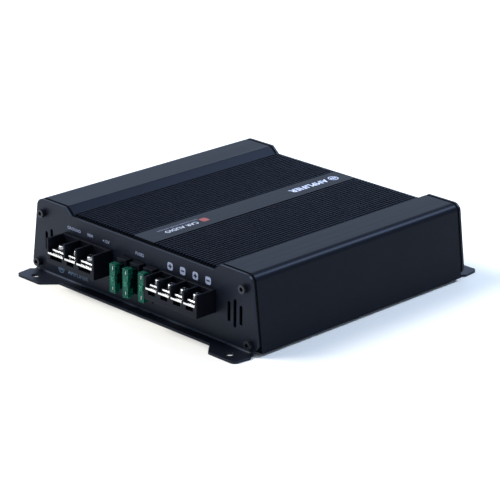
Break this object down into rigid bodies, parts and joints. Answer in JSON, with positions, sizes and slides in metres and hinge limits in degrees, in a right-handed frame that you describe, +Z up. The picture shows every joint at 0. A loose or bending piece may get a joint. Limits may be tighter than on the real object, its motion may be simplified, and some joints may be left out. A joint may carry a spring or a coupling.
{
  "type": "car amplifier",
  "caption": "Car audio amplifier: finned aluminium casing, bent-sheet end panels with mounting feet, screw terminals, blade fuses and rear controls.",
  "frame": {"origin": "centre of the underside of the mounting feet", "axes": "+Z up out of the finned top, X along the end panels, -Y towards the terminals and fuses, +Y towards the audio inputs and controls"},
  "size_m": [0.2054, 0.221, 0.05],
  "materials": {
    "casing": "semi-matt black coating on extruded aluminium",
    "panel": "smooth satin black powder coat on steel sheet",
    "gasket": "matt black rubber",
    "black_screw": "black oxide",
    "board": "green solder mask",
    "brass_parts": "turned brass",
    "steel": "zinc plated",
    "black_plastic": "moulded black plastic",
    "nickel": "bright nickel plate",
    "fuse_plastic": "translucent green",
    "ferrite": "coated ring core",
    "copper": "enamelled copper wire",
    "capacitor_sleeve": "shrink sleeve",
    "film_box": "moulded box",
    "pad_rubber": "silicone pad",
    "bar_aluminium": "mill finish",
    "jack_insert": "moulded insert",
    "led_lens": "clear tinted lens"
  },
  "bodies": {
    "chassis": {"heatsink_casing": "casing", "front_end_panel": "panel", "rear_end_panel": "panel", "front_gasket": "gasket", "rear_gasket": "gasket", "bottom_plate": "panel", "end_panel_screws": "black_screw", "bottom_plate_screws": "black_screw", "main_board": "board", "board_spacers": "brass_parts", "board_screws": "steel", "power_terminal_block": "black_plastic", "speaker_terminal_block": "black_plastic", "power_terminal_plates": "nickel", "speaker_terminal_plates": "nickel", "fuse_sockets": "black_plastic", "fuse_clips": "nickel", "transformer_core": "ferrite", "transformer_winding": "copper", "inductor_core": "ferrite", "inductor_winding": "copper", "input_capacitors": "capacitor_sleeve", "output_capacitors": "film_box", "power_transistors": "black_plastic", "insulating_pads": "pad_rubber", "clamp_bars": "bar_aluminium", "clamp_screws": "steel", "rca_block": "black_plastic", "rca_shells": "nickel", "rca_insulators": "jack_insert", "rca_contacts": "nickel", "control_board": "board", "control_pots": "steel", "phase_switch_body": "black_plastic", "remote_socket": "black_plastic", "led_lenses": "led_lens"},
    "fuse_1": {"fuse_1_body": "fuse_plastic", "fuse_1_blades": "nickel"},
    "fuse_2": {"fuse_2_body": "fuse_plastic", "fuse_2_blades": "nickel"},
    "fuse_3": {"fuse_3_body": "fuse_plastic", "fuse_3_blades": "nickel"},
    "power_1_clamp": {"power_1_clamp": "nickel"},
    "power_1_screw": {"power_1_screw": "nickel"},
    "power_2_clamp": {"power_2_clamp": "nickel"},
    "power_2_screw": {"power_2_screw": "nickel"},
    "power_3_clamp": {"power_3_clamp": "nickel"},
    "power_3_screw": {"power_3_screw": "nickel"},
    "speaker_1_clamp": {"speaker_1_clamp": "nickel"},
    "speaker_1_screw": {"speaker_1_screw": "nickel"},
    "speaker_2_clamp": {"speaker_2_clamp": "nickel"},
    "speaker_2_screw": {"speaker_2_screw": "nickel"},
    "speaker_3_clamp": {"speaker_3_clamp": "nickel"},
    "speaker_3_screw": {"speaker_3_screw": "nickel"},
    "speaker_4_clamp": {"speaker_4_clamp": "nickel"},
    "speaker_4_screw": {"speaker_4_screw": "nickel"},
    "level_knob": {"level_knob": "black_plastic"},
    "low_pass_knob": {"low_pass_knob": "black_plastic"},
    "bass_knob": {"bass_knob": "black_plastic"},
    "phase_switch_lever": {"phase_switch_lever": "black_plastic"}
  },
  "joints": [
    {"name": "fuse_1_pull", "type": "slide", "parent": "chassis", "child": "fuse_1", "axis": [0, -1, 0], "range_m": [-0.0018, 0.025]},
    {"name": "fuse_2_pull", "type": "slide", "parent": "chassis", "child": "fuse_2", "axis": [0, -1, 0], "range_m": [-0.0018, 0.025]},
    {"name": "fuse_3_pull", "type": "slide", "parent": "chassis", "child": "fuse_3", "axis": [0, -1, 0], "range_m": [0, 0.025]},
    {"name": "power_1_lift", "type": "slide", "parent": "chassis", "child": "power_1_clamp", "axis": [0, 0, 1], "range_m": [-0.0007, 0.0021]},
    {"name": "power_1_turn", "type": "hinge", "parent": "power_1_clamp", "child": "power_1_screw", "pos_m": [-0.061, -0.103, 0.0247], "axis": [0, 0, 1], "range_deg": [-362, 1082]},
    {"name": "power_2_lift", "type": "slide", "parent": "chassis", "child": "power_2_clamp", "axis": [0, 0, 1], "range_m": [-0.0007, 0.0021]},
    {"name": "power_2_turn", "type": "hinge", "parent": "power_2_clamp", "child": "power_2_screw", "pos_m": [-0.0474, -0.103, 0.0247], "axis": [0, 0, 1], "range_deg": [-362, 1082]},
    {"name": "power_3_lift", "type": "slide", "parent": "chassis", "child": "power_3_clamp", "axis": [0, 0, 1], "range_m": [-0.0007, 0.0021]},
    {"name": "power_3_turn", "type": "hinge", "parent": "power_3_clamp", "child": "power_3_screw", "pos_m": [-0.0338, -0.103, 0.0247], "axis": [0, 0, 1], "range_deg": [-362, 1082]},
    {"name": "speaker_1_lift", "type": "slide", "parent": "chassis", "child": "speaker_1_clamp", "axis": [0, 0, 1], "range_m": [-0.0007, 0.0021]},
    {"name": "speaker_1_turn", "type": "hinge", "parent": "speaker_1_clamp", "child": "speaker_1_screw", "pos_m": [0.02735, -0.103, 0.0266], "axis": [0, 0, 1], "range_deg": [-362, 1082]},
    {"name": "speaker_2_lift", "type": "slide", "parent": "chassis", "child": "speaker_2_clamp", "axis": [0, 0, 1], "range_m": [-0.0007, 0.0021]},
    {"name": "speaker_2_turn", "type": "hinge", "parent": "speaker_2_clamp", "child": "speaker_2_screw", "pos_m": [0.03835, -0.103, 0.0266], "axis": [0, 0, 1], "range_deg": [-362, 1082]},
    {"name": "speaker_3_lift", "type": "slide", "parent": "chassis", "child": "speaker_3_clamp", "axis": [0, 0, 1], "range_m": [-0.0007, 0.0021]},
    {"name": "speaker_3_turn", "type": "hinge", "parent": "speaker_3_clamp", "child": "speaker_3_screw", "pos_m": [0.04935, -0.103, 0.0266], "axis": [0, 0, 1], "range_deg": [-362, 1082]},
    {"name": "speaker_4_lift", "type": "slide", "parent": "chassis", "child": "speaker_4_clamp", "axis": [0, 0, 1], "range_m": [-0.0007, 0.0021]},
    {"name": "speaker_4_turn", "type": "hinge", "parent": "speaker_4_clamp", "child": "speaker_4_screw", "pos_m": [0.06035, -0.103, 0.0266], "axis": [0, 0, 1], "range_deg": [-362, 1082]},
    {"name": "level_turn", "type": "hinge", "parent": "chassis", "child": "level_knob", "pos_m": [-0.012, 0.097, 0.025], "axis": [0, 1, 0], "range_deg": [-150, 150]},
    {"name": "low_pass_turn", "type": "hinge", "parent": "chassis", "child": "low_pass_knob", "pos_m": [0.008, 0.097, 0.025], "axis": [0, 1, 0], "range_deg": [-150, 150]},
    {"name": "bass_turn", "type": "hinge", "parent": "chassis", "child": "bass_knob", "pos_m": [0.028, 0.097, 0.025], "axis": [0, 1, 0], "range_deg": [-150, 150]},
    {"name": "phase_switch_slide", "type": "slide", "parent": "chassis", "child": "phase_switch_lever", "axis": [1, 0, 0], "range_m": [0, 0.003]}
  ],
  "couplings": [
    {"joint": "power_1_turn", "follows": "power_1_lift", "rad_per_m": 8976},
    {"joint": "power_2_turn", "follows": "power_2_lift", "rad_per_m": 8976},
    {"joint": "power_3_turn", "follows": "power_3_lift", "rad_per_m": 8976},
    {"joint": "speaker_1_turn", "follows": "speaker_1_lift", "rad_per_m": 8976},
    {"joint": "speaker_2_turn", "follows": "speaker_2_lift", "rad_per_m": 8976},
    {"joint": "speaker_3_turn", "follows": "speaker_3_lift", "rad_per_m": 8976},
    {"joint": "speaker_4_turn", "follows": "speaker_4_lift", "rad_per_m": 8976}
  ]
}
